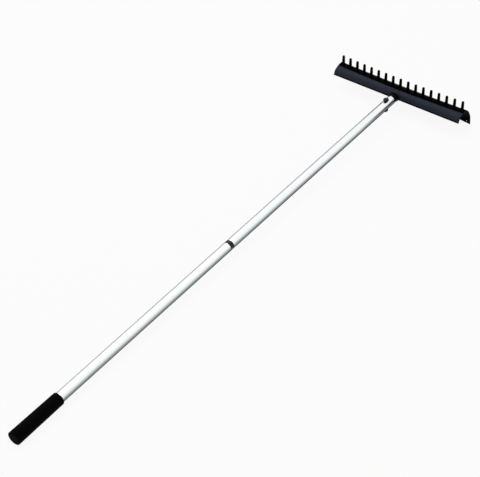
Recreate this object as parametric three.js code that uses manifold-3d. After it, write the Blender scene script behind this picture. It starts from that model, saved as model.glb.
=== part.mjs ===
// Golf bunker rake, lying with its tines up: a moulded head with a comb of tines,
// a plastic handle socket, and a two-section aluminium handle with a rubber grip.
//
// Millimetres. The rake is modelled in its own frame: Y runs along the handle towards the head,
// Z points to the tine side, X runs along the head, and the handle's axis is X = 0, Z = 0.
// The whole rake is then tipped until the head's rear rim and the end of the grip rest on Z = 0.

import * as THREE from "three";
import { mergeVertices } from "three/addons/utils/BufferGeometryUtils.js";
import Module from "manifold-3d";

const wasm = await Module();
wasm.setup();

// Gaps and cuts
const slipGap = 0.3; // between two pieces that slide, seat or press together
const overrun = 2; // how far a cutting tool runs past what it cuts
const mergeDistance = 1e-4;

// Head
const headLength = 394.5;
const wall = 3.2;
const lipReach = 37; // top of the front lip, in front of the rear edge of the comb
const lipTop = 4.4; // where the lip's upright wall turns into the front leaf
const lipDrop = 6; // the lip's free edge, below the handle's axis
const lipLean = 4.7; // and how far it leans out past the lip's top
const crownHeight = 14.1;
const crownFront = 11; // the flat crown starts this far in front
const crownBack = 1;
const kinkReach = 36.5; // where the rear leaf meets its flat rim flange
const kinkDrop = 37.3;
const rimReach = 39;
const rimDrop = 50.7; // the rim's free edge, below the handle's axis
const lipPullShare = 0.94; // pulls on the front leaf's curve, as shares of the lip's reach
const lipRiseShare = 0.42; // and of the rise from the lip to the crown
const crownPullShare = 0.68;
const rearPullShares = [0.36, 0.92]; // pulls on the rear leaf's curve, as shares of its reach
const rearHighShare = 0.6; // and of the crown's height
const rearLowShare = 0.42; // and of the drop to the flange
const combBow = 6; // the comb's middle lies this far nearer the user than its ends
const rimTurn = 7; // the rear rim's ends turn this far towards the user
const facetBendShare = 0.66; // where the rear leaf's end facets start, as a share of half the head
const rimHoleDiameter = 5;
const rimHoleShares = [0.2, 0.6, 0.94]; // places of the rim's holes, as shares of half the head

// Comb of tines
const tinePitch = 23.45;
const tineEndMargin = 6; // the least distance from an end tine to the head's end
const tineHeight = 27.9; // above the comb strip
const tineRootRadius = 4.4;
const tineTipRadius = 3.7;
const tineSetBack = 7; // tine roots, in front of the comb strip's rear edge
const stripWidth = 17.4;
const stripDepth = 4.6; // how deep the strip sits in its trough
const stripProud = 0.9; // how far its crown stands above the shell
const stripChamfer = 1.2;

// Handle socket and its boss
const bossRadius = 14;
const bossFace = 43; // the boss's front face, in front of the comb
const bossRoot = 25.5;
const socketLength = 100;
const socketWall = 3.6;
const stopWidth = 16; // the shoulder that the tube's end stops against
const stopInset = 0.2; // how far the shoulder stays inside the tube's radius

// Handle
const tubeRadius = 12.5;
const tubeWall = 1.2;
const sectionLength = 715;
const crossHoleDiameter = 8.6;
const crossHoleInset = 25.6; // the cross hole's centre, from the tube's end

// Screw joint between the handle's two sections
const collarLength = 12;
const collarShank = 25;
const collarBoreRadius = 7;
const collarChamfer = 0.8;
const threadRadius = 10;
const threadDepth = 1.1;
const threadPitch = 2.6;
const threadLength = 11.6;
const spigotShank = 30;
const spigotBoreRadius = 6;

// Grip
const gripLength = 136;
const gripRadius = 15.5; // at the tube's side
const gripEndRadius = 16.6; // at the free end
const gripEndWall = 3.4;
const gripRounding = 2;
const gripMouthRounding = 1.8;

// Bolt and nut
const boltRadius = 4;
const boltThreadDepth = 0.65;
const boltPitch = 1.25;
const hexAcrossFlats = 13;
const boltHeadHeight = 5.3;
const nutHeight = 6.5;
const boltRooting = 1; // how deep the shank is rooted in the head
const boltTail = 3; // how far the bolt ends past its nut
const hexChamfer = 0.8;

// Facets of the round surfaces
const tubeSides = 48;
const boltSides = 12;
const boltThreadSteps = 3; // rings of points in one turn of the thread
const spigotSides = 24;
const spigotThreadSteps = 6;
const hexSides = 6;
const tineSides = 10;
const holeSides = 16;
const arcSteps = 9;
const roundingSteps = 4;
const headSteps = 12; // lofted stretches between the rear leaf's two bends
const facetSteps = 2; // and in each end facet

// Places worked out from the sizes
const halfHead = headLength / 2;
const tineCount = Math.floor((headLength - 2 * tineEndMargin) / tinePitch) + 1;
const tubeEnd = -(bossFace + slipGap + stopWidth + slipGap); // the lower tube's end at the head
const joint = tubeEnd - sectionLength; // the lower tube's other end
const upperStart = joint - slipGap - collarLength - slipGap;
const upperEnd = upperStart - sectionLength;
const gripEnd = upperEnd - slipGap - gripEndWall;
const gripStart = gripEnd + gripLength;
const boltPlace = tubeEnd - crossHoleInset;
const tubeBore = tubeRadius - tubeWall;
const plugRadius = tubeBore - slipGap; // what fits inside a tube
const nutTop = -(tubeRadius + slipGap);
const boltEnd = nutTop - nutHeight - boltTail;

// Solids and geometry

function solid(geometry) {
  const bare = new THREE.BufferGeometry();
  const flat = geometry.index ? geometry.toNonIndexed() : geometry;
  bare.setAttribute("position", flat.getAttribute("position"));
  const merged = mergeVertices(bare, mergeDistance);
  const made = new wasm.Manifold(
    new wasm.Mesh({
      numProp: 3,
      vertProperties: merged.attributes.position.array,
      triVerts: new Uint32Array(merged.index.array),
    }),
  );
  if (made.volume() <= 0) throw new Error("a solid is inside out");
  return made;
}

function geometryOf(made) {
  const { vertProperties, triVerts } = made.getMesh();
  const geometry = new THREE.BufferGeometry();
  geometry.setAttribute("position", new THREE.BufferAttribute(vertProperties, 3));
  geometry.setIndex(new THREE.BufferAttribute(triVerts, 1));
  const flat = geometry.toNonIndexed();
  flat.computeVertexNormals();
  return flat;
}

// A closed solid through rings of points, each ring anticlockwise seen from where the rings go.
function loft(rings) {
  const count = rings[0].length;
  const points = rings.flat();
  const faces = [];
  for (let ring = 0; ring + 1 < rings.length; ring++) {
    for (let j = 0; j < count; j++) {
      const here = ring * count + j;
      const next = ring * count + ((j + 1) % count);
      faces.push([here, next + count, here + count], [here, next, next + count]);
    }
  }
  const flat = (ring) => {
    const along = new THREE.Vector3().subVectors(rings.at(-1)[0], rings[0][0]);
    const drop = Math.abs(along.x) > Math.abs(along.y) ? (p) => [p.y, p.z] : (p) => [p.z, p.x];
    return ring.map((p) => new THREE.Vector2(...drop(p)));
  };
  const last = (rings.length - 1) * count;
  for (const [a, b, c] of THREE.ShapeUtils.triangulateShape(flat(rings.at(-1)), []))
    faces.push([last + a, last + b, last + c]);
  for (const [a, b, c] of THREE.ShapeUtils.triangulateShape(flat(rings[0]), []))
    faces.push([a, c, b]);
  const geometry = new THREE.BufferGeometry().setFromPoints(points);
  geometry.setIndex(faces.flat());
  return solid(geometry);
}

// A body of revolution round the handle's axis, from [radius, y] points in rising y.
function turned(profile, sides = tubeSides) {
  const points = profile.map(([radius, y]) => new THREE.Vector2(radius, y));
  return solid(new THREE.LatheGeometry(points, sides));
}

function rod(radius, from, to, sides = tubeSides) {
  return turned([[0, from], [radius, from], [radius, to], [0, to]], sides);
}

function pipe(radius, bore, from, to) {
  return rod(radius, from, to).subtract(rod(bore, from - overrun, to + overrun));
}

// An upright cutter for the cross holes.
function crossCutter(place) {
  const reach = tubeRadius + overrun;
  const cutter = new THREE.CylinderGeometry(
    crossHoleDiameter / 2,
    crossHoleDiameter / 2,
    2 * reach,
    holeSides,
  );
  cutter.rotateX(Math.PI / 2).translate(0, place, 0);
  return solid(cutter);
}

// A rod with a helical ridge along Y, from y = 0 to its length, with a plain end at both ends.
function threadedRod({ crest, depth, pitch, length, sides, stepsPerPitch }) {
  const steps = Math.round((length / pitch) * stepsPerPitch);
  const rings = [];
  for (let step = 0; step <= steps; step++) {
    const y = (length * step) / steps;
    const ring = [];
    for (let side = 0; side < sides; side++) {
      const turn = side / sides;
      const phase = y / pitch - turn;
      const height = Math.abs(2 * (phase - Math.floor(phase)) - 1);
      const plain = step === 0 || step === steps;
      const radius = crest - depth * (plain ? 1 : height);
      const angle = 2 * Math.PI * turn;
      ring.push(new THREE.Vector3(radius * Math.sin(angle), y, radius * Math.cos(angle)));
    }
    rings.push(ring);
  }
  return loft(rings);
}

// A hexagonal prism along Z from one height to another, with its corners turned off at the free end.
function hexagon(from, to, chamferTop) {
  const corner = hexAcrossFlats / Math.sqrt(3);
  const height = to - from;
  const prism = new THREE.CylinderGeometry(corner, corner, height, hexSides);
  prism.rotateX(Math.PI / 2).translate(0, 0, (from + to) / 2);
  const inner = corner - hexChamfer;
  const low = chamferTop ? corner + hexChamfer : inner;
  const high = chamferTop ? inner : corner + hexChamfer;
  const points = [[0, from], [low, from]];
  points.push(chamferTop ? [low, to - hexChamfer] : [high, from + hexChamfer]);
  points.push([high, to], [0, to]);
  const dish = new THREE.LatheGeometry(points.map(([r, z]) => new THREE.Vector2(r, z)), tubeSides);
  dish.rotateX(Math.PI / 2);
  return solid(prism).intersect(solid(dish));
}

// Head

const bowAt = (x) => -combBow * (1 - (x / halfHead) ** 2);

function turnAt(x) {
  const bend = facetBendShare * halfHead;
  return (-rimTurn * Math.max(0, Math.abs(x) - bend)) / (halfHead - bend);
}

function stations(from, to, steps) {
  return Array.from({ length: steps }, (_, i) => from + ((to - from) * i) / steps);
}

const bendPlace = facetBendShare * halfHead;
const headStations = [
  ...stations(-halfHead, -bendPlace, facetSteps),
  ...stations(-bendPlace, bendPlace, headSteps),
  ...stations(bendPlace, halfHead, facetSteps),
  halfHead,
];

// The floor in the rake's own frame: it touches the rear rim and the grip's end rounding.
const gripContact = gripEnd + gripRounding;
const lie = Math.atan2(rimDrop - gripEndRadius, rimReach - gripContact);
const floorAt = (y) => -gripEndRadius - (y - gripContact) * Math.tan(lie);

// The head's outer line from the front lip over the crown to the rim: y, z, how much each
// point follows the comb's bow and the rim's turn, and whether it rests on the floor.
function outerLine() {
  const front = new THREE.CubicBezierCurve(
    new THREE.Vector2(-lipReach, lipTop),
    new THREE.Vector2(-lipReach * lipPullShare, lipTop + (crownHeight - lipTop) * lipRiseShare),
    new THREE.Vector2(-lipReach * crownPullShare, crownHeight),
    new THREE.Vector2(-crownFront, crownHeight),
  );
  const rear = new THREE.CubicBezierCurve(
    new THREE.Vector2(-crownBack, crownHeight),
    new THREE.Vector2(kinkReach * rearPullShares[0], crownHeight * rearHighShare),
    new THREE.Vector2(kinkReach * rearPullShares[1], -kinkDrop * rearLowShare),
    new THREE.Vector2(kinkReach, -kinkDrop),
  );
  const line = [{ y: -lipReach - lipLean, z: -lipDrop, bow: 0, turn: 0 }];
  front.getPoints(arcSteps).forEach((p, i) => {
    line.push({ y: p.x, z: p.y, bow: i / arcSteps, turn: 0 });
  });
  rear.getPoints(arcSteps).forEach((p, i) => {
    line.push({ y: p.x, z: p.y, bow: 1 - i / arcSteps, turn: i / arcSteps });
  });
  line.push({ y: rimReach, z: -rimDrop, bow: 0, turn: 1, rests: true });
  return line;
}

// The same line moved inwards by the wall.
function innerLine(outer) {
  return outer.map((point, i) => {
    const before = outer[Math.max(0, i - 1)];
    const after = outer[Math.min(outer.length - 1, i + 1)];
    const along = new THREE.Vector2(after.y - before.y, after.z - before.z).normalize();
    const y = point.y + along.y * wall;
    const z = i === 0 ? point.z : point.z - along.x * wall;
    return { ...point, y, z };
  });
}

function headShellBody() {
  const outer = outerLine();
  const section = [...outer.toReversed(), ...innerLine(outer)];
  const place = (x, p) => {
    const y = p.y + p.bow * bowAt(x) + p.turn * turnAt(x);
    return new THREE.Vector3(x, y, p.rests ? floorAt(y) : p.z);
  };
  return loft(headStations.map((x) => section.map((p) => place(x, p))));
}

// A bar along the bowed comb, from its section's points anticlockwise seen from +X.
function bowedBar(section, reach) {
  const places = stations(-reach, reach, headSteps + 2 * facetSteps).concat(reach);
  return loft(
    places.map((x) => section.map(([y, z]) => new THREE.Vector3(x, y + bowAt(x), z))),
  );
}

function boxSection(front, back, low, high) {
  return [[back, low], [back, high], [front, high], [front, low]];
}

const stripFront = -stripWidth - crownBack;
const troughFloor = crownHeight - stripDepth - slipGap;

function headShell() {
  const block = boxSection(
    stripFront - wall,
    -crownBack + wall,
    troughFloor - wall,
    crownHeight - wall / 2,
  );
  const trough = boxSection(
    stripFront - slipGap,
    -crownBack + slipGap,
    troughFloor,
    crownHeight + overrun,
  );
  const boss = rod(bossRadius, -bossFace, -bossRoot);
  const bore = rod(plugRadius + slipGap, -bossFace - overrun, -bossRoot + overrun);
  let shell = headShellBody().add(bowedBar(block, halfHead)).add(boss).subtract(bore);
  shell = shell.subtract(bowedBar(trough, halfHead + overrun));
  for (const share of rimHoleShares)
    for (const side of [-1, 1]) shell = shell.subtract(rimHole(side * share * halfHead));
  return shell;
}

function rimHole(x) {
  const reach = wall + rimReach - kinkReach + rimTurn + overrun;
  const hole = new THREE.CylinderGeometry(
    rimHoleDiameter / 2,
    rimHoleDiameter / 2,
    2 * reach,
    holeSides,
  );
  return solid(hole.translate(x, (kinkReach + rimReach) / 2, -(kinkDrop + rimDrop) / 2));
}

function tineComb() {
  const top = crownHeight + stripProud;
  const front = stripFront;
  const back = -crownBack;
  const low = troughFloor + slipGap;
  const section = [
    [back, low],
    [back, top - stripChamfer],
    [back - stripChamfer, top],
    [front + stripChamfer, top],
    [front, top - stripChamfer],
    [front, low],
  ];
  let comb = bowedBar(section, halfHead);
  for (let i = 0; i < tineCount; i++) {
    const x = (i - (tineCount - 1) / 2) * tinePitch;
    comb = comb.add(tine(x, bowAt(x) - tineSetBack, top));
  }
  return comb;
}

// One tine: a slender cone with a rounded tip, rooted in the strip.
function tine(x, y, top) {
  const profile = [[0, -stripDepth / 2], [tineRootRadius, -stripDepth / 2], [tineRootRadius, 0]];
  const shoulder = tineHeight - tineTipRadius;
  for (let i = 0; i <= roundingSteps; i++) {
    const angle = (Math.PI / 2) * (i / roundingSteps);
    profile.push([
      i === roundingSteps ? 0 : tineTipRadius * Math.cos(angle),
      shoulder + tineTipRadius * Math.sin(angle),
    ]);
  }
  const shape = new THREE.LatheGeometry(profile.map((p) => new THREE.Vector2(...p)), tineSides);
  shape.rotateX(Math.PI / 2).translate(x, y, top);
  return solid(shape);
}

function handleSocket() {
  const inner = -bossRoot;
  const stopBack = -bossFace - slipGap;
  const shoulder = rod(tubeRadius - stopInset, stopBack - stopWidth, stopBack);
  return rod(plugRadius, inner - socketLength, inner)
    .add(shoulder)
    .subtract(rod(plugRadius - socketWall, inner - socketLength - overrun, inner + overrun))
    .subtract(crossCutter(boltPlace));
}

// Handle

function lowerTube() {
  return pipe(tubeRadius, tubeBore, joint, tubeEnd).subtract(crossCutter(boltPlace));
}

function upperTube() {
  const hole = crossCutter(upperEnd + crossHoleInset);
  return pipe(tubeRadius, tubeBore, upperEnd, upperStart).subtract(hole);
}

// The female half of the screw joint: a flange as wide as the tube, and a shank inside it.
function threadCollar() {
  const face = joint - slipGap;
  const low = face - collarLength;
  const body = turned([
    [0, low],
    [tubeRadius - collarChamfer, low],
    [tubeRadius, low + collarChamfer],
    [tubeRadius, face - collarChamfer],
    [tubeRadius - collarChamfer, face],
    [plugRadius, face],
    [plugRadius, face + collarShank],
    [0, face + collarShank],
  ]);
  const cavity = rod(threadRadius + slipGap, low - overrun, low + threadLength + collarChamfer);
  return body.subtract(cavity).subtract(rod(collarBoreRadius, low, face + collarShank + overrun));
}

// The male half: a thread that stands out of the upper section, and a shank inside its tube.
function threadedSpigot() {
  const thread = threadedRod({
    crest: threadRadius,
    depth: threadDepth,
    pitch: threadPitch,
    length: threadLength,
    sides: spigotSides,
    stepsPerPitch: spigotThreadSteps,
  });
  const shank = rod(plugRadius, upperStart - spigotShank, upperStart);
  return thread
    .translate(0, upperStart, 0)
    .add(shank.add(rod(threadRadius - threadDepth, upperStart - overrun, upperStart + overrun)))
    .subtract(rod(spigotBoreRadius, upperStart - spigotShank - overrun, joint + overrun));
}

function gripSleeve() {
  const profile = [[0, gripEnd]];
  for (let i = 0; i <= roundingSteps; i++) {
    const angle = (Math.PI / 2) * (i / roundingSteps);
    profile.push([
      gripEndRadius - gripRounding * (1 - Math.sin(angle)),
      gripEnd + gripRounding * (1 - Math.cos(angle)),
    ]);
  }
  for (let i = 0; i <= roundingSteps; i++) {
    const angle = (Math.PI / 2) * (i / roundingSteps);
    profile.push([
      gripRadius - gripMouthRounding * (1 - Math.cos(angle)),
      gripStart - gripMouthRounding * (1 - Math.sin(angle)),
    ]);
  }
  profile.push([0, gripStart]);
  const bore = rod(tubeRadius + slipGap, gripEnd + gripEndWall, gripStart + overrun);
  return turned(profile).subtract(bore);
}

// Bolt and nut

function headBolt() {
  const seat = tubeRadius + slipGap;
  const shank = threadedRod({
    crest: boltRadius,
    depth: boltThreadDepth,
    pitch: boltPitch,
    length: seat - boltEnd + boltRooting,
    sides: boltSides,
    stepsPerPitch: boltThreadSteps,
  });
  return shank
    .rotate([90, 0, 0])
    .translate(0, 0, boltEnd)
    .add(hexagon(seat, seat + boltHeadHeight, true))
    .translate(0, boltPlace, 0);
}

function headNut() {
  const bore = new THREE.CylinderGeometry(
    crossHoleDiameter / 2,
    crossHoleDiameter / 2,
    nutHeight + 2 * overrun,
    holeSides,
  );
  bore.rotateX(Math.PI / 2).translate(0, 0, nutTop - nutHeight / 2);
  return hexagon(nutTop - nutHeight, nutTop, false)
    .subtract(solid(bore))
    .translate(0, boltPlace, 0);
}

// Materials

const finish = (color, roughness, metalness) =>
  new THREE.MeshStandardMaterial({ color, roughness, metalness });

const nodes = [
  ["head_shell", headShell(), () => finish("#2b2e35", 0.5, 0)],
  ["tine_comb", tineComb(), () => finish("#0b0b0d", 0.55, 0)],
  ["handle_socket", handleSocket(), () => finish("#151517", 0.35, 0)],
  ["lower_tube", lowerTube(), () => finish("#dfe3e4", 0.22, 1)],
  ["thread_collar", threadCollar(), () => finish("#161616", 0.4, 0)],
  ["upper_tube", upperTube(), () => finish("#dfe3e4", 0.22, 1)],
  ["threaded_spigot", threadedSpigot(), () => finish("#c9cccd", 0.35, 1)],
  ["grip_sleeve", gripSleeve(), () => finish("#09090a", 0.8, 0)],
  ["head_bolt", headBolt(), () => finish("#17181a", 0.35, 0.6)],
  ["head_nut", headNut(), () => finish("#17181a", 0.35, 0.6)],
];

const rake = new THREE.Group();
for (const [name, made, material] of nodes) {
  const mesh = new THREE.Mesh(geometryOf(made), material());
  mesh.name = name;
  rake.add(mesh);
}

// Tipped onto the floor, with the origin under the middle of its length.
rake.rotation.x = lie;
rake.position.z = gripEndRadius * Math.cos(lie) - gripContact * Math.sin(lie);
const part = new THREE.Group();
part.add(rake);
const box = new THREE.Box3().setFromObject(part);
rake.position.y = -(box.min.y + box.max.y) / 2;

export default part;
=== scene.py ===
# %% [markdown]
# # A bunker rake, dressed for its picture
# The rake is a moulded plastic head with a comb of tines, on a two-section aluminium
# handle with a rubber grip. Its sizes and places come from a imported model, the frame.
# Each step below rebuilds one piece of it with the shape and finish that the eye expects.

import math

import bmesh
import bpy
from mathutils import Matrix, Vector
from mathutils.geometry import interpolate_bezier


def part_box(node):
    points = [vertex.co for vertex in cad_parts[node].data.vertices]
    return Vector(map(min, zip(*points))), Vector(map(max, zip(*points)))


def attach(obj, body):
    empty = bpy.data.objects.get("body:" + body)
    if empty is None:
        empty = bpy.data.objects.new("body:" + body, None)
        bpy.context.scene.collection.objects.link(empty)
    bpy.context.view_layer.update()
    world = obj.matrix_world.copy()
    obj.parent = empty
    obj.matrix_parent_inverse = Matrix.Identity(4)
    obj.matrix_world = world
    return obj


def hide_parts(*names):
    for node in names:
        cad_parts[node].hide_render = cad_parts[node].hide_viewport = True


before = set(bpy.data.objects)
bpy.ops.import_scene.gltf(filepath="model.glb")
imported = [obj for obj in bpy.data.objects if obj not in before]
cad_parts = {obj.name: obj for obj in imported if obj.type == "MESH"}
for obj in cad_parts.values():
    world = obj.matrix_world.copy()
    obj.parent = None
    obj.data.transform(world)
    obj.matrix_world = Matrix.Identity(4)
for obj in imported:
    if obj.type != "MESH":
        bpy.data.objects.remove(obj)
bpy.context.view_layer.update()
print("frame holds", sorted(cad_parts))

# %% [markdown]
# ## The camera
# A product picture of something long is taken from far away, so that the far end doesn't
# shrink much. The lens is therefore long, and the camera looks down at about forty degrees.

# %% Place the camera
camera_place = Vector((1.4346, -1.8863, 2.0568))
camera_azimuth, camera_drop, camera_roll = map(math.radians, (37.305, 40.648, -0.582))

camera_data = bpy.data.cameras.new("long_lens")
camera_data.sensor_fit = "HORIZONTAL"
camera_data.sensor_width = 36
camera_data.lens = 97.776
camera = bpy.data.objects.new("camera", camera_data)
bpy.context.scene.collection.objects.link(camera)
camera.matrix_world = (
    Matrix.Translation(camera_place)
    @ Matrix.Rotation(camera_azimuth, 4, "Z")
    @ Matrix.Rotation(math.pi / 2 - camera_drop, 4, "X")
    @ Matrix.Rotation(camera_roll, 4, "Z")
)
bpy.context.scene.camera = camera
bpy.context.scene.view_settings.view_transform = "Standard"
print("camera stands", round(camera_place.length, 2), "m from the rake's middle")

# %% [markdown]
# ## Colours and nodes
# Blender mixes light in linear numbers, and a hex colour is written for a screen. One
# function turns the one into the other. Another adds a shader node with its settings
# and links, so that each finish below reads as a short list. A Mix node has hidden
# sockets for other kinds of value, so its colour sockets are named by their numbers.

# %% Helpers for finishes
def linear(hex_colour):
    levels = [int(hex_colour[i : i + 2], 16) / 255 for i in (1, 3, 5)]
    return [
        *(v / 12.92 if v <= 0.04045 else ((v + 0.055) / 1.055) ** 2.4 for v in levels),
        1.0,
    ]


def add_node(tree, kind, sockets=None, **settings):
    node = tree.nodes.new(kind)
    for name, value in settings.items():
        setattr(node, name, value)
    for name, value in (sockets or {}).items():
        if isinstance(value, bpy.types.NodeSocket):
            tree.links.new(value, node.inputs[name])
        else:
            node.inputs[name].default_value = value
    return node


def new_finish(name):
    finish = bpy.data.materials.new(name)
    finish.use_nodes = True
    tree = finish.node_tree
    tree.nodes.clear()
    shader = add_node(tree, "ShaderNodeBsdfPrincipled")
    out = add_node(tree, "ShaderNodeOutputMaterial")
    tree.links.new(shader.outputs["BSDF"], out.inputs["Surface"])
    return finish, tree, shader


MIX_A, MIX_B, MIXED = 6, 7, 2
print("helpers ready")

# %% [markdown]
# ## Studio
# The picture has a white ground and soft light with no hard shadow. A real studio lays
# white paper and hangs a large soft box above it. The floor here is that paper, lifted
# towards white for the camera and for what mirrors it, and it still takes the rake's
# shadow.

# %% Paper floor
FLOOR_SIZE = 24
FLOOR_LIFT = 0.92


def seen_rays(tree):
    """1 for what is seen, straight, in a mirror or through glass, and 0 for light."""
    ray = add_node(tree, "ShaderNodeLightPath")
    seen = ray.outputs["Is Camera Ray"]
    for way in ("Is Glossy Ray", "Is Transmission Ray"):
        either = add_node(
            tree,
            "ShaderNodeMath",
            {0: seen, 1: ray.outputs[way]},
            operation="ADD",
            use_clamp=True,
        )
        seen = either.outputs[0]
    return seen


bpy.ops.object.select_all(action="DESELECT")
bpy.ops.mesh.primitive_plane_add(size=FLOOR_SIZE, location=(0, 0, 0))
floor = bpy.context.object
floor.name = "paper_floor"

paper, tree, shader = new_finish("white_studio_paper")
paper_tooth = add_node(tree, "ShaderNodeTexNoise", {"Scale": 30.0, "Detail": 2.0})
paper_tone = add_node(
    tree,
    "ShaderNodeMix",
    {
        "Factor": paper_tooth.outputs["Fac"],
        MIX_A: linear("#e2e2e2"),
        MIX_B: linear("#e6e6e6"),
    },
    data_type="RGBA",
)
tree.links.new(paper_tone.outputs[MIXED], shader.inputs["Base Color"])
shader.inputs["Roughness"].default_value = 0.9
shader.inputs["Specular IOR Level"].default_value = 0.0
lift = add_node(
    tree, "ShaderNodeMath", {0: seen_rays(tree), 1: FLOOR_LIFT}, operation="MULTIPLY"
)
glow = add_node(tree, "ShaderNodeEmission", {"Strength": 1.0})
lifted = add_node(
    tree,
    "ShaderNodeMixShader",
    {0: lift.outputs[0], 1: shader.outputs["BSDF"], 2: glow.outputs["Emission"]},
)
tree.links.new(lifted.outputs[0], tree.nodes["Material Output"].inputs["Surface"])
floor.data.materials.append(paper)
print("the paper floor is", FLOOR_SIZE, "m square")

# %% [markdown]
# Large lamps give soft shadows, and the pale room fills them. A ray that is seen meets a
# white room, and a ray that lights the rake meets the same room at a plain level.

# %% Soft boxes and room
ROOM_LEVEL = 0.42


def soft_box(name, place, size, power):
    """A large soft lamp that points at the rake's middle."""
    lamp_data = bpy.data.lights.new(name, "AREA")
    lamp_data.shape = "RECTANGLE"
    lamp_data.size, lamp_data.size_y = size
    lamp_data.energy = power
    lamp = bpy.data.objects.new(name, lamp_data)
    bpy.context.scene.collection.objects.link(lamp)
    lamp.location = place
    lamp.rotation_euler = (-Vector(place)).to_track_quat("-Z", "Y").to_euler()


soft_box("overhead_soft_box", (-1.0, 0.6, 3.0), (2.6, 3.0), 50)
soft_box("side_soft_box", (-2.6, -1.8, 1.8), (1.6, 1.6), 10)

world = bpy.data.worlds.new("pale_room")
bpy.context.scene.world = world
world.use_nodes = True
tree = world.node_tree
sky = tree.nodes["Background"]
sky.inputs["Color"].default_value = linear("#ffffff")
level = add_node(
    tree,
    "ShaderNodeMapRange",
    {"Value": seen_rays(tree), "To Min": ROOM_LEVEL, "To Max": 1.0},
)
tree.links.new(level.outputs[0], sky.inputs["Strength"])
print("stage is set")

# %% [markdown]
# ## The rake's own frame
# A rake is easiest to model along its handle: Y runs along the handle towards the head,
# Z points to the tine side, and lengths are in millimetres. The finished rake lies on the
# rear rim of its head and on the end of its grip, so every piece is tipped by a small
# angle at the end, in its mesh, and its object stays at the origin. Pieces that go into
# each other keep the gap FIT between them.

# %% Sizes that the pieces share
mm = 0.001
FIT = 0.3
HALF_HEAD = 197.25
RIM_REACH = 39.0
RIM_DROP = 50.7
TUBE_RADIUS = 12.5
TUBE_WALL = 1.2
TUBE_END = -59.6
SECTION = 715
COLLAR_RING = 12
GRIP_SWELL = 16.6
GRIP_ROUNDING = 2
GRIP_END_WALL = 3.4
BOLT_INSET = 25.6
BOLT_HOLE_RADIUS = 4.3
PLUG_RADIUS = 11
PLUG_CHAMFER = 0.6

JOINT = TUBE_END - SECTION
UPPER_START = JOINT - (COLLAR_RING + 2 * FIT)
UPPER_END = UPPER_START - SECTION
GRIP_END = UPPER_END - (GRIP_END_WALL + FIT)
GRIP_CONTACT = GRIP_END + GRIP_ROUNDING
BOLT_PLACE = TUBE_END - BOLT_INSET

lie = math.atan2(RIM_DROP - GRIP_SWELL, RIM_REACH - GRIP_CONTACT)
tube_low, tube_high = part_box("lower_tube")
tube_middle = Vector((0, (TUBE_END + JOINT) / 2 * mm, 0))
tip = Matrix.Rotation(lie, 4, "X")
lay_down = Matrix.Translation((tube_low + tube_high) / 2 - tip @ tube_middle) @ tip
print("the handle rises", round(math.degrees(lie), 2), "degrees towards the head")


def floor_height(y):
    """Where the floor lies, in the rake's own frame."""
    return -GRIP_SWELL - (y - GRIP_CONTACT) * math.tan(lie)


# %% [markdown]
# ## Bench tools
# These few helpers do what a hand does in edit mode: start a piece, pick a part of it
# by its place, join or cut two solids, and put the finished piece down on the floor.

# %% Bench tools
def deselect():
    if bpy.context.object and bpy.context.object.mode != "OBJECT":
        bpy.ops.object.mode_set(mode="OBJECT")
    bpy.ops.object.select_all(action="DESELECT")


def activate(piece):
    deselect()
    piece.select_set(True)
    bpy.context.view_layer.objects.active = piece


def take_primitive(name):
    piece = bpy.context.object
    piece.name = piece.data.name = name
    bpy.ops.object.transform_apply(location=True, rotation=True, scale=True)
    return piece


def pick(piece, kind, test):
    """In edit mode, selects the vertices or edges whose middle (in mm) passes."""
    mesh = bmesh.from_edit_mesh(piece.data)
    bpy.ops.mesh.select_mode(type={"verts": "VERT", "edges": "EDGE"}[kind])
    bpy.ops.mesh.select_all(action="DESELECT")
    for part in getattr(mesh, kind):
        points = [part.co] if kind == "verts" else [v.co for v in part.verts]
        if test(*(sum(points, Vector()) / len(points) / mm)):
            part.select_set(True)
    mesh.select_flush_mode()
    bmesh.update_edit_mesh(piece.data)


def apply_modifier(piece, kind, **settings):
    activate(piece)
    modifier = piece.modifiers.new(kind.lower(), kind)
    for name, value in settings.items():
        setattr(modifier, name, value)
    bpy.ops.object.modifier_apply(modifier=modifier.name)


def combine(piece, tool, how):
    apply_modifier(piece, "BOOLEAN", operation=how, object=tool, solver="EXACT")
    bpy.data.objects.remove(tool)
    return piece


def turned(name, profile, sides=96):
    """A body of revolution along the handle: a ring is extruded and scaled point by point.
    A profile that ends where it started is welded there, and open ends are capped."""
    deselect()
    (radius, y), *rest = profile
    bpy.ops.mesh.primitive_circle_add(
        vertices=sides,
        radius=radius * mm,
        location=(0, y * mm, 0),
        rotation=(math.pi / 2, 0, 0),
    )
    piece = take_primitive(name)
    bpy.ops.object.mode_set(mode="EDIT")
    bpy.ops.mesh.select_mode(type="EDGE")
    bpy.ops.mesh.select_all(action="SELECT")
    for next_radius, next_y in rest:
        bpy.ops.mesh.extrude_region_move(
            TRANSFORM_OT_translate={"value": (0, (next_y - y) * mm, 0)}
        )
        if next_radius != radius:
            share = next_radius / radius
            bpy.ops.transform.resize(
                value=(share, 1, share), center_override=(0, next_y * mm, 0)
            )
        radius, y = next_radius, next_y
    bpy.ops.mesh.select_all(action="SELECT")
    bpy.ops.mesh.remove_doubles(threshold=1e-6)
    bpy.ops.mesh.fill_holes(sides=0)
    bpy.ops.mesh.select_all(action="SELECT")
    bpy.ops.mesh.normals_make_consistent(inside=False)
    bpy.ops.object.mode_set(mode="OBJECT")
    return piece


def upright_rod(name, radius, y, low, high, sides=48):
    """An upright cylinder, used as a drill, or with few sides as a prism."""
    deselect()
    bpy.ops.mesh.primitive_cylinder_add(
        vertices=sides,
        radius=radius * mm,
        depth=(high - low) * mm,
        location=(0, y * mm, (low + high) / 2 * mm),
    )
    return take_primitive(name)


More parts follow.
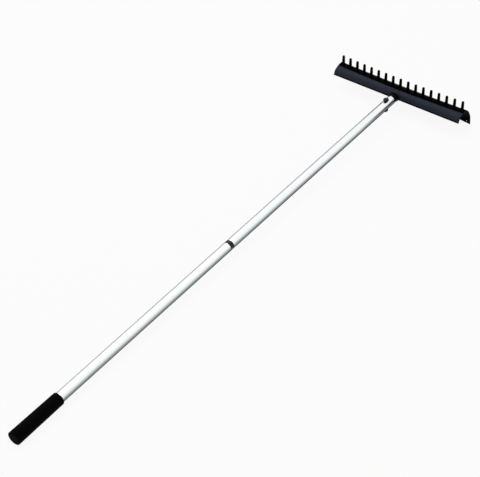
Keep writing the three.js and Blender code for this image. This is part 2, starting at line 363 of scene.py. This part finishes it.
def put_down(piece, finish, body, node):
    """Welds, tips the mesh onto the floor, shades it and hands it to its body."""
    activate(piece)
    bpy.ops.object.mode_set(mode="EDIT")
    bpy.ops.mesh.select_all(action="SELECT")
    bpy.ops.mesh.remove_doubles(threshold=2e-6)
    bpy.ops.object.mode_set(mode="OBJECT")
    piece.data.transform(lay_down)
    bpy.ops.object.shade_smooth_by_angle(angle=math.radians(30))
    piece.data.materials.clear()
    piece.data.materials.append(finish)
    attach(piece, body)
    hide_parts(node)
    low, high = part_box(node)
    own = [v.co for v in piece.data.vertices]
    gap = max(
        max(abs(min(p[i] for p in own) - low[i]), abs(max(p[i] for p in own) - high[i]))
        for i in range(3)
    )
    count = len(piece.data.polygons)
    print(piece.name, count, "faces,", round(gap / mm, 2), "mm from its node")


print("bench tools ready")

# %% [markdown]
# ## Moulded plastic
# The head's shell is injection-moulded polypropylene, dyed a slate grey. A mould gives a
# fine sparked grain, a soft sheen and faint clouds where the plastic flowed. The grain is
# 0.8 mm here, a little coarser than the real one, so that it shows from far away. The
# other moulded pieces are blacker: nylon is glossier than the shell, and rubber duller.

# %% Finish: moulded plastic
def moulded(name, dark, light, grain_mm, cloud_mm, roughness, bump, sheen):
    """Two tones in clouds, and a grain that stirs the gloss and the relief."""
    grain_low, grain_high = 0.35, 0.65
    gloss_spread = 0.06
    grain_depth = 0.12 * mm
    finish, tree, shader = new_finish(name)
    place = add_node(tree, "ShaderNodeTexCoord").outputs["Object"]
    clouds = add_node(
        tree,
        "ShaderNodeTexNoise",
        {"Vector": place, "Scale": 1000 / cloud_mm, "Detail": 3.0},
    )
    grain = add_node(
        tree,
        "ShaderNodeTexNoise",
        {"Vector": place, "Scale": 1000 / grain_mm, "Detail": 2.0},
    )
    tone = add_node(
        tree,
        "ShaderNodeMix",
        {"Factor": clouds.outputs["Fac"], MIX_A: linear(dark), MIX_B: linear(light)},
        data_type="RGBA",
    )
    gloss = add_node(
        tree,
        "ShaderNodeMapRange",
        {
            "Value": grain.outputs["Fac"],
            "From Min": grain_low,
            "From Max": grain_high,
            "To Min": roughness - gloss_spread,
            "To Max": roughness + gloss_spread,
        },
    )
    relief = add_node(
        tree,
        "ShaderNodeBump",
        {"Height": grain.outputs["Fac"], "Strength": bump, "Distance": grain_depth},
    )
    tree.links.new(tone.outputs[MIXED], shader.inputs["Base Color"])
    tree.links.new(gloss.outputs[0], shader.inputs["Roughness"])
    tree.links.new(relief.outputs[0], shader.inputs["Normal"])
    shader.inputs["IOR"].default_value = 1.49
    shader.inputs["Specular IOR Level"].default_value = sheen
    return finish


slate_polypropylene = moulded(
    "moulded_polypropylene_slate", "#1c202c", "#282d3b", 0.8, 45, 0.55, 0.4, 0.12
)
black_polypropylene = moulded(
    "moulded_polypropylene_black", "#010101", "#030303", 0.8, 40, 0.55, 0.3, 0.01
)
# A near-black copy of the shell's plastic, used as painted shade on the shell's hollow,
# ends and lower faces.
smooth_shaded_polypropylene = moulded(
    "moulded_polypropylene_smooth_painted_shade", "#020203", "#050506", 3.0, 60, 0.42, 0.05, 0.005
)
glossy_nylon = moulded(
    "moulded_nylon_black", "#010101", "#030303", 1.2, 30, 0.35, 0.15, 0.03
)
collar_nylon = moulded(
    "moulded_nylon_collar", "#070707", "#0b0b0c", 1.0, 30, 0.36, 0.2, 0.3
)
grip_rubber = moulded(
    "moulded_rubber_black", "#010102", "#030304", 1.1, 25, 0.75, 0.8, 0.03
)
print("six finishes of moulded plastic and rubber")

# %% [markdown]
# ## Drawn and turned aluminium
# The tubes are drawn through a die, which leaves fine lines along them, and then given a
# clear satin anodising. The spigot is turned on a lathe, so its lines run round it.
# The real lines are about 0.1 mm apart; 0.5 mm is drawn, so that they can be seen. On the
# tubes a near-black tint darkens the reflection where the metal is seen at a low angle:
# painted dark edge reflections. Their colour is also painted darker low on the flanks, all
# round: painted shade for the underside. The bolt and the nut are steel under a thin black
# oxide.

# %% Finish: satin metal
def aluminium(
    name, dark, light, along_mm, across_mm, roughness, painted_shade=None, edge="#ffffff"
):
    """Fine lines along or across the handle, a painted shade low on the flanks, and a tint
    for the reflection at low angles.
    """
    line_low, line_high = 0.3, 0.7
    gloss_spread = 0.05
    line_depth = 0.03 * mm
    flank_top, flank_low = 10.3 * mm, 1.5 * mm
    finish, tree, shader = new_finish(name)
    place = add_node(tree, "ShaderNodeTexCoord").outputs["Object"]
    home = lay_down.inverted()
    turn = add_node(
        tree,
        "ShaderNodeMapping",
        {"Vector": place, "Location": home.translation, "Rotation": home.to_euler()},
        vector_type="POINT",
    )
    stretch = add_node(
        tree,
        "ShaderNodeMapping",
        {
            "Vector": turn.outputs[0],
            "Scale": (1000 / across_mm, 1000 / along_mm, 1000 / across_mm),
        },
    )
    lines = add_node(
        tree,
        "ShaderNodeTexNoise",
        {"Vector": stretch.outputs[0], "Scale": 1.0, "Detail": 3.0},
    )
    tone = add_node(
        tree,
        "ShaderNodeMix",
        {"Factor": lines.outputs["Fac"], MIX_A: linear(dark), MIX_B: linear(light)},
        data_type="RGBA",
    )
    # Painted shade: from 10.3 mm above the tube's axis down to 1.5 mm the colour turns to
    # the dark tone, and it stays dark below.
    if painted_shade:
        height = add_node(tree, "ShaderNodeSeparateXYZ", {0: turn.outputs[0]})
        painted_shade_mask = add_node(
            tree,
            "ShaderNodeMapRange",
            {"Value": height.outputs["Z"], "From Min": flank_top, "From Max": flank_low},
            interpolation_type="SMOOTHSTEP",
        )
        tone = add_node(
            tree,
            "ShaderNodeMix",
            {
                "Factor": painted_shade_mask.outputs[0],
                MIX_A: tone.outputs[MIXED],
                MIX_B: linear(painted_shade),
            },
            data_type="RGBA",
        )
    gloss = add_node(
        tree,
        "ShaderNodeMapRange",
        {
            "Value": lines.outputs["Fac"],
            "From Min": line_low,
            "From Max": line_high,
            "To Min": roughness - gloss_spread,
            "To Max": roughness + gloss_spread,
        },
    )
    relief = add_node(
        tree,
        "ShaderNodeBump",
        {"Height": lines.outputs["Fac"], "Strength": 0.12, "Distance": line_depth},
    )
    shader.inputs["Metallic"].default_value = 1.0
    # A dark tint here is a painted dark reflection where the metal is seen at a low angle.
    shader.inputs["Specular Tint"].default_value = linear(edge)
    tree.links.new(tone.outputs[MIXED], shader.inputs["Base Color"])
    tree.links.new(gloss.outputs[0], shader.inputs["Roughness"])
    tree.links.new(relief.outputs[0], shader.inputs["Normal"])
    return finish


# On the drawn tubes, #909797 is the painted shade low on the flanks, and #0b0d0e tints the
# reflection at low angles as a painted dark edge reflection.
drawn_aluminium = aluminium(
    "drawn_anodised_aluminium", "#f0f6f6", "#fafdfd", 60, 0.5, 0.2, "#909797", "#0b0d0e"
)
turned_aluminium = aluminium("turned_aluminium", "#c4c8ca", "#d6dadb", 0.4, 40, 0.28)
black_oxide = aluminium("black_oxide_steel", "#1b1c1f", "#26282b", 3, 3, 0.36)
print("three metal finishes")

# %% [markdown]
# ## The head's shell
# The shell is one wall of plastic, folded: an upright lip in front, a leaf that rises to a
# flat crown, and a long leaf behind that drops to the rim. It could be lofted or carved.
# Folding a strip edge by edge is closest to how its section is drawn. Two close cuts at
# each place where the rim will bend keep that bend crisp.

# %% Fold the shell's outer sheet
CROWN = 14.1
LIP = [(-41.7, -6.0), (-40.0, -2.24)]
FRONT_LEAF = [(-37, 4.4), (-34.78, 8.474), (-25.16, CROWN), (-11, CROWN)]
REAR_LEAF = [(-1, CROWN), (13.14, 8.46), (33.58, -15.666), (36.5, -37.3)]
RIM_BEND = 0.66 * HALF_HEAD
BEND_WIDTH = 1.6
LENGTH_CUTS = 47


def section_line(front_steps=14, rear_steps=18):
    """Points (y, z) from the lip's free edge to the rim, with each one's share of the
    comb's bow and of the rim's turn."""
    front = interpolate_bezier(*FRONT_LEAF, front_steps + 1)
    rear = interpolate_bezier(*REAR_LEAF, rear_steps + 1)
    line = [(y, z, 0, 0) for y, z in LIP]
    line += [(p.x, p.y, i / front_steps, 0) for i, p in enumerate(front)]
    line += [(p.x, p.y, 1 - i / rear_steps, i / rear_steps) for i, p in enumerate(rear)]
    return line + [(RIM_REACH, -RIM_DROP, 0, 1)]


line = section_line()
first_y, first_z = LIP[0]
deselect()
bpy.ops.mesh.primitive_plane_add(
    size=1, location=(0, (first_y - 1) * mm, first_z * mm)
)
bpy.context.object.scale = (2 * HALF_HEAD * mm, 2 * mm, 1)
shell = take_primitive("shell")
bpy.ops.object.mode_set(mode="EDIT")
pick(shell, "verts", lambda x, y, z: y < first_y - 1)
bpy.ops.mesh.delete(type="VERT")
pick(shell, "edges", lambda x, y, z: True)
for before, after in zip(line, line[1:]):
    bpy.ops.mesh.extrude_region_move(
        TRANSFORM_OT_translate={
            "value": (0, (after[0] - before[0]) * mm, (after[1] - before[1]) * mm)
        }
    )
pick(shell, "edges", lambda x, y, z: abs(x) < 0.01)
bpy.ops.mesh.subdivide(number_cuts=LENGTH_CUTS)
for side in (-1, 1):
    for beside in (-BEND_WIDTH / 2, BEND_WIDTH / 2):
        bpy.ops.mesh.select_all(action="SELECT")
        bpy.ops.mesh.bisect(
            plane_co=((side * RIM_BEND + beside) * mm, 0, 0), plane_no=(1, 0, 0)
        )
bpy.ops.mesh.select_all(action="SELECT")
bpy.ops.mesh.normals_make_consistent(inside=False)
bpy.ops.object.mode_set(mode="OBJECT")
print("the sheet has", len(shell.data.polygons), "faces")

# %% [markdown]
# The comb runs in a shallow bow, and so does the crown that carries it. The lip and the
# rim stay straight, apart from the rim's ends, which turn in. Each point of the sheet
# moves by its own share of both. Then the sheet gets its wall, its rim is cut level with
# the floor, and its edges are rounded.

# %% Bow the sheet and give it its wall
COMB_BOW = 6
RIM_TURN = 7
SHELL_WALL = 3.2
EDGE_ROUNDING = 0.7
NEAR_RIM = -48


def bow_at(x):
    return -COMB_BOW * (1 - (x / HALF_HEAD) ** 2)


def turn_at(x):
    return -RIM_TURN * max(0, abs(x) - RIM_BEND) / (HALF_HEAD - RIM_BEND)


shares = {(round(y, 2), round(z, 2)): (bow, turn) for y, z, bow, turn in line}
for point in shell.data.vertices:
    x, y, z = point.co / mm
    bow, turn = shares[(round(y, 2), round(z, 2))]
    point.co.y += (bow * bow_at(x) + turn * turn_at(x)) * mm
top_face = max(shell.data.polygons, key=lambda face: face.center.z)
if top_face.normal.z < 0:
    shell.data.flip_normals()
apply_modifier(
    shell, "SOLIDIFY", thickness=SHELL_WALL * mm, offset=-1, use_even_offset=True
)
for point in shell.data.vertices:
    x, y, z = point.co / mm
    if z < NEAR_RIM:
        point.co.z = floor_height(y) * mm
    if abs(x) > HALF_HEAD - 1:
        point.co.x = math.copysign(HALF_HEAD, x) * mm
apply_modifier(
    shell,
    "BEVEL",
    width=EDGE_ROUNDING * mm,
    segments=3,
    limit_method="ANGLE",
    angle_limit=math.radians(40),
)
print("the shell's wall is closed:", len(shell.data.polygons), "faces")

# %% [markdown]
# A trough under the crown holds the comb. It is a housing with thin walls round the room
# for the strip. Both are straight bars that are pushed into the comb's bow: the housing
# is joined to the shell as a solid, and the room is cut out of it.

# %% Trough and housing
STRIP_BACK, STRIP_FRONT = -1, -18.4
STRIP_LOW, STRIP_TOP = 9.5, 15.0
HOUSING_WALL = 2.9
HOUSING_TOP = 12.5
HOUSING_INSET = 0.4


def long_bar(name, back, front, low, high, reach):
    """A straight bar along the head, subdivided along its length."""
    deselect()
    bpy.ops.mesh.primitive_cube_add(
        size=1, location=(0, (back + front) / 2 * mm, (low + high) / 2 * mm)
    )
    bpy.context.object.scale = (2 * reach * mm, (back - front) * mm, (high - low) * mm)
    bar = take_primitive(name)
    bpy.ops.object.mode_set(mode="EDIT")
    pick(bar, "edges", lambda x, y, z: abs(x) < 0.01)
    bpy.ops.mesh.subdivide(number_cuts=LENGTH_CUTS)
    bpy.ops.object.mode_set(mode="OBJECT")
    return bar


def push_into_bow(bar):
    for point in bar.data.vertices:
        point.co.y += bow_at(point.co.x / mm) * mm
    return bar


trough_back, trough_front = STRIP_BACK + FIT, STRIP_FRONT - FIT
trough_low = STRIP_LOW - FIT
housing = long_bar(
    "housing",
    trough_back + HOUSING_WALL,
    trough_front - HOUSING_WALL,
    trough_low - SHELL_WALL,
    HOUSING_TOP,
    HALF_HEAD - HOUSING_INSET,
)
trough = long_bar(
    "trough", trough_back, trough_front, trough_low, STRIP_TOP + 2, HALF_HEAD + 2
)
print("the trough is", round(trough_back - trough_front, 1), "mm wide")

# %% [markdown]
# A short round boss in front takes the handle's socket. It is moulded with the shell, so
# it is joined as a solid too, and its bore is cut before the trough. The six holes in the
# rim's flange are drilled last, halfway up it.

# %% Boss and rim holes
BOSS_RADIUS = 14
BOSS_FRONT, BOSS_BACK = -43, -25.5
BOSS_CHAMFER = 0.8
RIM_HOLE_RADIUS = 2.5
RIM_HOLE_SHARES = (0.2, 0.6, 0.94)
BORE_START = -60

boss = turned(
    "boss",
    [
        (BOSS_RADIUS - BOSS_CHAMFER, BOSS_FRONT),
        (BOSS_RADIUS, BOSS_FRONT + BOSS_CHAMFER),
        (BOSS_RADIUS, BOSS_BACK),
    ],
)
bore_radius = PLUG_RADIUS + FIT
bore = turned("bore", [(bore_radius, BORE_START), (bore_radius, BOSS_BACK + 2)])
combine(shell, push_into_bow(housing), "UNION")
combine(shell, boss, "UNION")
combine(shell, bore, "DIFFERENCE")
combine(shell, push_into_bow(trough), "DIFFERENCE")

flange_y, flange_z = REAR_LEAF[-1]
hole_y, hole_z = (flange_y + RIM_REACH) / 2, (flange_z - RIM_DROP) / 2
for share in RIM_HOLE_SHARES:
    for side in (-1, 1):
        drill = upright_rod("drill", RIM_HOLE_RADIUS, 0, -12, 12, 32)
        drill.data.transform(
            Matrix.Translation((side * share * HALF_HEAD * mm, hole_y * mm, hole_z * mm))
            @ Matrix.Rotation(math.pi / 2, 4, "X")
        )
        combine(shell, drill, "DIFFERENCE")
put_down(shell, slate_polypropylene, "head_and_lower_handle", "head_shell")

# %% [markdown]
# The two halves of a mould are seldom finished alike. The half that forms the leaves is
# sparked to a slate grain, and the half that forms the hollow, the ends and the lip's lower
# edge is smooth. Those smooth faces, and the boss's front, are also given a near-black copy
# of the slate plastic as painted shade, while faces that look up or back keep the slate
# colour.

# %% Two sides of the mould, with painted shade on the smooth side
shell.data.materials.append(smooth_shaded_polypropylene)
lift_up = lay_down.inverted()
for face in shell.data.polygons:
    x, y, z = lift_up @ face.center / mm
    out = lift_up.to_3x3() @ face.normal
    faces_up_or_back = out.z > 0.1 or out.y > 0.5
    faces_sideways = abs(out.x) > 0.7
    round_boss = math.hypot(x, z) > BOSS_RADIUS - 0.1 and abs(x) < BOSS_RADIUS + 0.1
    on_leaf = faces_up_or_back and not faces_sideways
    sparked_and_lit = on_leaf or (round_boss and y < BOSS_BACK + 0.5)
    # Index 1 paints these faces near-black: painted shade on faces that look down, sideways
    # or into the hollow, on the lip's lower edge and on the boss's front.
    face.material_index = 0 if y > LIP[1][0] and sparked_and_lit else 1
smooth_shaded_faces = sum(face.material_index for face in shell.data.polygons)
print(smooth_shaded_faces, "faces from the smooth half")

# %% [markdown]
# ## The comb of tines
# The tines are moulded in one with a strip that presses into the head's trough. The
# strip is the same kind of bar, with its two long upper edges rounded over before it is
# pushed into the bow.

# %% Strip
STRIP_ROUNDING = 1.2


def on_long_edge(x, y, z):
    along_side = abs(y - STRIP_BACK) < 0.01 or abs(y - STRIP_FRONT) < 0.01
    return z > STRIP_TOP - 0.01 and along_side


strip = long_bar("comb", STRIP_BACK, STRIP_FRONT, STRIP_LOW, STRIP_TOP, HALF_HEAD)
activate(strip)
bpy.ops.object.mode_set(mode="EDIT")
pick(strip, "edges", on_long_edge)
bpy.ops.mesh.bevel(offset=STRIP_ROUNDING * mm, segments=3, affect="EDGES")
bpy.ops.object.mode_set(mode="OBJECT")
push_into_bow(strip)
print("the strip has", len(strip.data.polygons), "faces")

# %% [markdown]
# One tine is shaped, copied along the bow and joined to the strip. Each is a slender cone
# with a round tip and a small flare at its root, where a real mould is rounded for
# strength.

# %% Tines
TINE_COUNT = 17
TINE_PITCH = 23.45
TINE_SET_BACK = 7
TINE_HEIGHT = 27.9
TINE_ROOT = 4.4
TINE_TIP = 3.7
TIP_STEP = 14


def tine():
    """One tine on the rake's middle line, its root just under the strip's top."""
    outline = [
        (TINE_ROOT + 0.6, STRIP_TOP - 0.8),
        (TINE_ROOT + 0.6, STRIP_TOP),
        (TINE_ROOT + 0.2, STRIP_TOP + 0.4),
        (TINE_ROOT, STRIP_TOP + 1.2),
    ]
    shoulder = STRIP_TOP + TINE_HEIGHT - TINE_TIP
    outline += [
        (TINE_TIP * math.cos(a), shoulder + TINE_TIP * math.sin(a))
        for a in (math.radians(step * TIP_STEP) for step in range(7))
    ]
    piece = turned("tine", outline, 20)
    piece.data.transform(Matrix.Rotation(math.pi / 2, 4, "X"))
    return piece


pattern = tine()
tines = []
for place in range(TINE_COUNT):
    x = (place - (TINE_COUNT - 1) / 2) * TINE_PITCH
    copy = bpy.data.objects.new("tine", pattern.data.copy())
    bpy.context.scene.collection.objects.link(copy)
    copy.data.transform(Matrix.Translation((x * mm, (bow_at(x) - TINE_SET_BACK) * mm, 0)))
    tines.append(copy)
bpy.data.objects.remove(pattern)
activate(tines[0])
for copy in tines:
    copy.select_set(True)
bpy.ops.object.join()
combine(strip, tines[0], "UNION")
put_down(strip, black_polypropylene, "head_and_lower_handle", "tine_comb")

# %% [markdown]
# ## The handle's socket
# A black nylon stub joins the head to the tube: one end sits in the boss, the other
# inside the tube, and a shoulder between them stops the tube. Its profile is turned, so a
# ring is drawn out along it point by point, and the bolt's hole is drilled.

# %% Socket
SOCKET_END = -125.5
SOCKET_BORE = 7.4
SHOULDER_RADIUS = 12.3
DRILL_REACH = 16


def drill_for_bolt(piece, place):
    drill = upright_rod("drill", BOLT_HOLE_RADIUS, place, -DRILL_REACH, DRILL_REACH)
    return combine(piece, drill, "DIFFERENCE")


shoulder_low, shoulder_high = TUBE_END + FIT, BOSS_FRONT - FIT
socket = turned(
    "socket",
    [
        (PLUG_RADIUS - PLUG_CHAMFER, SOCKET_END),
        (PLUG_RADIUS, SOCKET_END + PLUG_CHAMFER),
        (PLUG_RADIUS, shoulder_low),
        (SHOULDER_RADIUS - 0.6, shoulder_low),
        (SHOULDER_RADIUS, shoulder_low + 0.6),
        (SHOULDER_RADIUS, shoulder_high - 0.7),
        (SHOULDER_RADIUS - 0.7, shoulder_high),
        (PLUG_RADIUS, shoulder_high),
        (PLUG_RADIUS, BOSS_BACK),
        (SOCKET_BORE, BOSS_BACK),
        (SOCKET_BORE, SOCKET_END),
        (PLUG_RADIUS - PLUG_CHAMFER, SOCKET_END),
    ],
)
drill_for_bolt(socket, BOLT_PLACE)
put_down(socket, glossy_nylon, "head_and_lower_handle", "handle_socket")

# %% [markdown]
# ## The two tubes
# Each section is a length of drawn tube, sawn off, with its edges broken and one hole
# drilled through it near the end.

# %% Tubes
def tube(name, low, high, hole, broken_edge=0.3):
    """One section: outer wall up, bore down, with both ends' outer edges broken."""
    bore = TUBE_RADIUS - TUBE_WALL
    section = [
        (TUBE_RADIUS - broken_edge, low),
        (TUBE_RADIUS, low + broken_edge),
        (TUBE_RADIUS, high - broken_edge),
        (TUBE_RADIUS - broken_edge, high),
        (bore, high),
        (bore, low),
        (TUBE_RADIUS - broken_edge, low),
    ]
    return drill_for_bolt(turned(name, section, 128), hole)


put_down(
    tube("lower_section", JOINT, TUBE_END, BOLT_PLACE),
    drawn_aluminium,
    "head_and_lower_handle",
    "lower_tube",
)
put_down(
    tube("upper_section", UPPER_END, UPPER_START, UPPER_END + BOLT_INSET),
    drawn_aluminium,
    "upper_handle",
    "upper_tube",
)

# %% [markdown]
# ## The screw joint
# A black collar with a female thread is pressed into the lower section, and a bright
# aluminium spigot with a male thread into the upper one.

# %% Collar
THREAD_CREST = 10
THREAD_ROOM = 12.4
COLLAR_SHANK = 25
COLLAR_BORE = 7
RING_CHAMFER = 0.8

ring_top = JOINT - FIT
ring_low = ring_top - COLLAR_RING
shank_top = ring_top + COLLAR_SHANK
thread_bore = THREAD_CREST + FIT
collar = turned(
    "collar",
    [
        (TUBE_RADIUS - RING_CHAMFER, ring_low),
        (TUBE_RADIUS, ring_low + RING_CHAMFER),
        (TUBE_RADIUS, ring_top - RING_CHAMFER),
        (TUBE_RADIUS - RING_CHAMFER, ring_top),
        (PLUG_RADIUS, ring_top),
        (PLUG_RADIUS, shank_top - PLUG_CHAMFER),
        (PLUG_RADIUS - PLUG_CHAMFER, shank_top),
        (COLLAR_BORE, shank_top),
        (COLLAR_BORE, ring_low + THREAD_ROOM),
        (thread_bore, ring_low + THREAD_ROOM),
        (thread_bore, ring_low + PLUG_CHAMFER),
        (thread_bore + PLUG_CHAMFER, ring_low),
        (TUBE_RADIUS - RING_CHAMFER, ring_low),
    ],
)
put_down(collar, collar_nylon, "head_and_lower_handle", "thread_collar")

# %% [markdown]
# A thread is a small tooth that climbs round a rod. The Screw modifier turns one tooth
# round the axis as many times as needed, and two flat cuts end it. The tooth starts an
# odd part of a turn before the first cut, so that no row of points lies in the cut. The
# bolt further down is made with the same tool.

# %% Threads
def threaded_rod(name, crest, depth, pitch, low, high, sides=48):
    """A closed threaded rod along the handle, from low to high."""
    lead_in, spare_turns = 2.137, 4
    deselect()
    bpy.ops.mesh.primitive_plane_add(size=1)
    rod = take_primitive(name)
    bpy.ops.object.mode_set(mode="EDIT")
    bpy.ops.mesh.select_all(action="SELECT")
    bpy.ops.mesh.delete(type="VERT")
    bpy.ops.object.mode_set(mode="OBJECT")
    tooth = [(crest - depth, 0), (crest, 0.45), (crest, 0.55), (crest - depth, 1)]
    rod.data.from_pydata(
        [(r * mm, (low - (lead_in - share) * pitch) * mm, 0) for r, share in tooth],
        [(0, 1), (1, 2), (2, 3)],
        [],
    )
    apply_modifier(
        rod,
        "SCREW",
        axis="Y",
        screw_offset=pitch * mm,
        iterations=math.ceil((high - low) / pitch) + spare_turns,
        steps=sides,
        render_steps=sides,
        use_merge_vertices=True,
        merge_threshold=1e-6,
    )
    bpy.ops.object.mode_set(mode="EDIT")
    for y, way in ((low, -1), (high, 1)):
        bpy.ops.mesh.select_all(action="SELECT")
        bpy.ops.mesh.bisect(
            plane_co=(0, y * mm, 0), plane_no=(0, way, 0), clear_outer=True
        )
    bpy.ops.mesh.select_all(action="SELECT")
    bpy.ops.mesh.remove_doubles(threshold=1e-6)
    bpy.ops.mesh.fill_holes(sides=0)
    bpy.ops.mesh.select_all(action="SELECT")
    bpy.ops.mesh.normals_make_consistent(inside=False)
    bpy.ops.object.mode_set(mode="OBJECT")
    return rod


print("thread tool ready")

# %% [markdown]
# The spigot is a plug that is pressed into the upper section, with the thread on top of
# it and one bore through both. The plug's short neck reaches into the thread, so that
# the two join as one solid.

# %% Spigot
SPIGOT_SHANK = 30
SPIGOT_BORE = 6
THREAD_DEPTH = 1.1
THREAD_PITCH = 2.6
THREAD_LENGTH = 11.6

neck = THREAD_CREST - THREAD_DEPTH + 0.05
spigot = turned(
    "spigot",
    [
        (PLUG_RADIUS - PLUG_CHAMFER, UPPER_START - SPIGOT_SHANK),
        (PLUG_RADIUS, UPPER_START - SPIGOT_SHANK + PLUG_CHAMFER),
        (PLUG_RADIUS, UPPER_START),
        (neck, UPPER_START),
        (neck, UPPER_START + 1),
    ],
)
thread = threaded_rod(
    "thread",
    THREAD_CREST,
    THREAD_DEPTH,
    THREAD_PITCH,
    UPPER_START - 0.5,
    UPPER_START + THREAD_LENGTH,
)
combine(spigot, thread, "UNION")
bore = turned(
    "bore", [(SPIGOT_BORE, UPPER_START - SPIGOT_SHANK - 2), (SPIGOT_BORE, JOINT + 2)]
)
combine(spigot, bore, "DIFFERENCE")
put_down(spigot, turned_aluminium, "upper_handle", "threaded_spigot")

# %% [markdown]
# ## The grip
# A moulded rubber sleeve with a closed, rounded end is pushed over the tube. It swells a
# little towards its end.

# %% Grip
GRIP_LENGTH = 136
GRIP_RADIUS = 15.5
MOUTH_ROUNDING = 1.8
MOUTH_LEAD = 0.4
CAP_RADIUS = 4


def rounding(radius, step_angle, steps):
    """How far a rounding falls short, inwards and along, at each of its steps."""
    angles = [math.radians(step * step_angle) for step in steps]
    return [(radius * (1 - math.sin(a)), radius * (1 - math.cos(a))) for a in angles]


grip_mouth = GRIP_END + GRIP_LENGTH
grip_bore = TUBE_RADIUS + FIT
outline = [(CAP_RADIUS, GRIP_END), (GRIP_SWELL - GRIP_ROUNDING, GRIP_END)]
outline += [
    (GRIP_SWELL - inwards, GRIP_END + along)
    for inwards, along in rounding(GRIP_ROUNDING, 15, range(1, 7))
]
outline += [
    (GRIP_RADIUS - inwards, grip_mouth - along)
    for along, inwards in rounding(MOUTH_ROUNDING, 18, range(6))
]
outline += [
    (grip_bore, grip_mouth - MOUTH_LEAD),
    (grip_bore, GRIP_END + GRIP_END_WALL),
    (CAP_RADIUS, GRIP_END + GRIP_END_WALL),
]
grip = turned("grip", outline)
put_down(grip, grip_rubber, "upper_handle", "grip_sleeve")

# %% [markdown]
# ## Bolt and nut
# An M8 bolt through the tube and the socket pins the head. A bolt's head is a hexagon
# whose corners are turned off in a shallow cone, which is cut here with a cone-shaped
# punch, as on the lathe. Its shank has the thread of the real bolt, 1.25 mm a turn.

# %% Bolt
FLATS = 13
BOLT_RADIUS = 4
BOLT_THREAD_DEPTH = 0.65
BOLT_PITCH = 1.25
BOLT_TIP = -22.3
BOLT_HEAD = 5.3
SEAT = TUBE_RADIUS + FIT


def hexagon(name, low, high, chamfer_top):
    """A hexagonal prism whose corners are turned off at its top or at its bottom."""
    corner = FLATS / math.sqrt(3)
    cone = 0.8
    wide, narrow = corner + cone, corner - cone
    prism = upright_rod(name, corner, 0, low, high, 6)
    if chamfer_top:
        dish = [(wide, low - 1), (wide, high - cone), (narrow, high)]
    else:
        dish = [(narrow, low), (wide, low + cone), (wide, high + 1)]
    punch = turned("punch", dish)
    punch.data.transform(Matrix.Rotation(math.pi / 2, 4, "X"))
    return combine(prism, punch, "INTERSECT")


bolt = threaded_rod(
    "bolt", BOLT_RADIUS, BOLT_THREAD_DEPTH, BOLT_PITCH, BOLT_TIP, SEAT + 1, 36
)
bolt.data.transform(Matrix.Rotation(math.pi / 2, 4, "X"))
combine(bolt, hexagon("bolt_head", SEAT, SEAT + BOLT_HEAD, True), "UNION")
bolt.data.transform(Matrix.Translation((0, BOLT_PLACE * mm, 0)))
put_down(bolt, black_oxide, "bolt", "head_bolt")

# %% [markdown]
# The nut is the same kind of hexagon with a plain hole, a little wider than the thread.
# It stands against the tube's lower side, where the bolt comes out.

# %% Nut
NUT_HEIGHT = 6.5
nut = hexagon("nut", -SEAT - NUT_HEIGHT, -SEAT, False)
combine(nut, upright_rod("drill", BOLT_HOLE_RADIUS, 0, -22, -10), "DIFFERENCE")
nut.data.transform(Matrix.Translation((0, BOLT_PLACE * mm, 0)))
put_down(nut, black_oxide, "nut", "head_nut")
